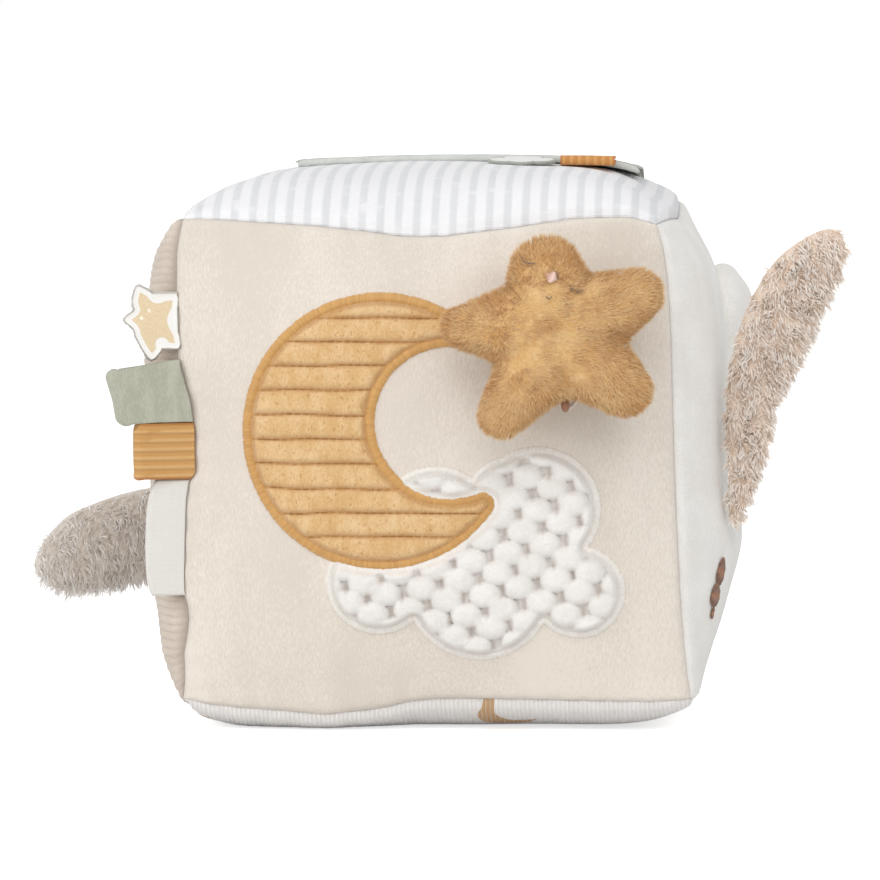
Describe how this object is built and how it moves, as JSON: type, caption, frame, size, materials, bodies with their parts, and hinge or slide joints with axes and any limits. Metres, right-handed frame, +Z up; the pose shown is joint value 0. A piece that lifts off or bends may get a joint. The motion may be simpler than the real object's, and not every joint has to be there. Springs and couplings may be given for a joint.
{
  "type": "soft activity cube",
  "caption": "Stuffed fabric cube for a baby, with a moon and a cloud sewn on, a plush star on a pull cord, ribbon tags, a top flap and plush ears.",
  "frame": {"origin": "centre of the flat that the block rests on", "axes": "+X to the right as seen from the front, -Y to the front with the moon and the star, +Z up"},
  "size_m": [0.2447, 0.1872, 0.1664],
  "materials": {
    "beige_velour": "smooth short velour, beige",
    "taupe_rib": "wide-wale ribbed plush, taupe",
    "white_plush": "smooth short plush, off-white",
    "popcorn_plush": "bubbled plush, white",
    "striped_cotton": "woven cotton, white with pale grey stripes",
    "white_rib": "fine rib knit, white, with small printed crescents",
    "fibre": "loose polyester fibre",
    "gold_plush": "short plush, golden, quilted in channels",
    "gold_thread": "satin-stitch thread, golden",
    "cream_thread": "satin-stitch thread, cream",
    "mustard_plush": "short plush, mustard",
    "brown_cord": "braided cord, brown",
    "sage_velour": "velour ribbon, grey-green",
    "sage_cotton": "woven cotton, grey-green",
    "ochre_ribbon": "grosgrain ribbon, ochre",
    "white_satin": "satin ribbon, white",
    "shaggy_plush": "shaggy plush, beige",
    "film": "thin rustling film",
    "abs": "moulded plastic, white",
    "spring_steel": "steel"
  },
  "bodies": {
    "cube": {"front_panel": "beige_velour", "back_panel": "white_plush", "left_panel": "taupe_rib", "right_panel": "white_plush", "top_panel": "striped_cotton", "bottom_panel": "white_rib", "fibre_filling": "fibre", "moon_patch": "gold_plush", "moon_edge_stitches": "gold_thread", "cloud_patch": "popcorn_plush", "cloud_edge_stitches": "cream_thread", "cord_eyelet": "brown_cord", "pull_case_base": "abs", "pull_case_cover": "abs", "return_spring": "spring_steel", "rattle_cup_front": "abs", "rattle_cup_back": "abs", "right_ear_root": "white_plush"},
    "pull_cord": {"pull_cord": "brown_cord"},
    "star": {"star_front_cover": "mustard_plush", "star_back_cover": "mustard_plush", "star_filling": "fibre", "cord_knot": "brown_cord"},
    "cord_reel": {"cord_reel": "abs", "buzz_weight": "spring_steel"},
    "rattle_ball": {"rattle_ball": "abs"},
    "right_ear": {"right_ear_inner": "shaggy_plush", "right_ear_outer": "white_plush"},
    "left_ear": {"left_ear_inner": "shaggy_plush", "left_ear_outer": "white_plush"},
    "flap": {"flap_top": "sage_cotton", "flap_film": "film", "flap_lining": "sage_cotton"},
    "leaf_tag": {"leaf_tag": "white_satin"},
    "flap_loop": {"flap_loop": "ochre_ribbon"},
    "star_tag": {"star_tag": "white_satin"},
    "green_loop": {"green_loop": "sage_velour"},
    "ochre_loop": {"ochre_loop": "ochre_ribbon"},
    "blank_label": {"blank_label": "white_satin"}
  },
  "joints": [
    {"name": "star_pull", "type": "slide", "parent": "cube", "child": "pull_cord", "axis": [0, -1, 0], "range_m": [0, 0.07], "stiffness_N_per_m": 30, "springref_m": -0.02, "deforming": ["pull_cord"]},
    {"name": "star_tip", "type": "hinge", "parent": "pull_cord", "child": "star", "pos_m": [0.03916, -0.096, 0.09857], "axis": [1, 0, 0], "range_deg": [0, 180]},
    {"name": "reel_spin", "type": "hinge", "parent": "cube", "child": "cord_reel", "pos_m": [0.03916, -0.0567, 0.08927], "axis": [1, 0, 0], "range_deg": [0, 440]},
    {"name": "rattle_ball_roll", "type": "hinge", "parent": "cube", "child": "rattle_ball", "pos_m": [0, 0.012, 0.0805], "axis": [0, 1, 0], "range_deg": [-75, 75]},
    {"name": "right_ear_swing", "type": "hinge", "parent": "cube", "child": "right_ear", "pos_m": [0.08093, -0.047, 0.1027], "axis": [0, 0, 1], "range_deg": [-40, 25], "stiffness_Nm_per_rad": 0.02},
    {"name": "left_ear_swing", "type": "hinge", "parent": "cube", "child": "left_ear", "pos_m": [-0.0692, 0.06945, 0.05], "axis": [0, 0, 1], "range_deg": [-50, 6], "stiffness_Nm_per_rad": 0.02},
    {"name": "flap_lift", "type": "hinge", "parent": "cube", "child": "flap", "pos_m": [0.00498, 0.06374, 0.15726], "axis": [-1, 0, 0], "range_deg": [0, 75]},
    {"name": "leaf_tag_tip", "type": "hinge", "parent": "flap", "child": "leaf_tag", "pos_m": [0.02224, 0.02075, 0.16504], "axis": [-1, 0, 0], "range_deg": [0, 80]},
    {"name": "flap_loop_tip", "type": "hinge", "parent": "flap", "child": "flap_loop", "pos_m": [0.04211, 0.02107, 0.16492], "axis": [-1, 0, 0], "range_deg": [0, 35]},
    {"name": "star_tag_swing", "type": "hinge", "parent": "cube", "child": "star_tag", "pos_m": [-0.07146, -0.07097, 0.12059], "axis": [0, 0, 1], "range_deg": [-20, 60], "stiffness_Nm_per_rad": 0.0005},
    {"name": "green_loop_swing", "type": "hinge", "parent": "cube", "child": "green_loop", "pos_m": [-0.0704, -0.07114, 0.1002], "axis": [0, 0, 1], "range_deg": [-20, 60], "stiffness_Nm_per_rad": 0.0005},
    {"name": "ochre_loop_swing", "type": "hinge", "parent": "cube", "child": "ochre_loop", "pos_m": [-0.06967, -0.07055, 0.0826], "axis": [0, 0, 1], "range_deg": [-20, 60], "stiffness_Nm_per_rad": 0.0005},
    {"name": "blank_label_swing", "type": "hinge", "parent": "cube", "child": "blank_label", "pos_m": [-0.06894, -0.07042, 0.0571], "axis": [0, 0, 1], "range_deg": [-20, 60], "stiffness_Nm_per_rad": 0.0005}
  ],
  "couplings": [
    {"joint": "reel_spin", "follows": "star_pull", "rad_per_m": 107.5}
  ]
}
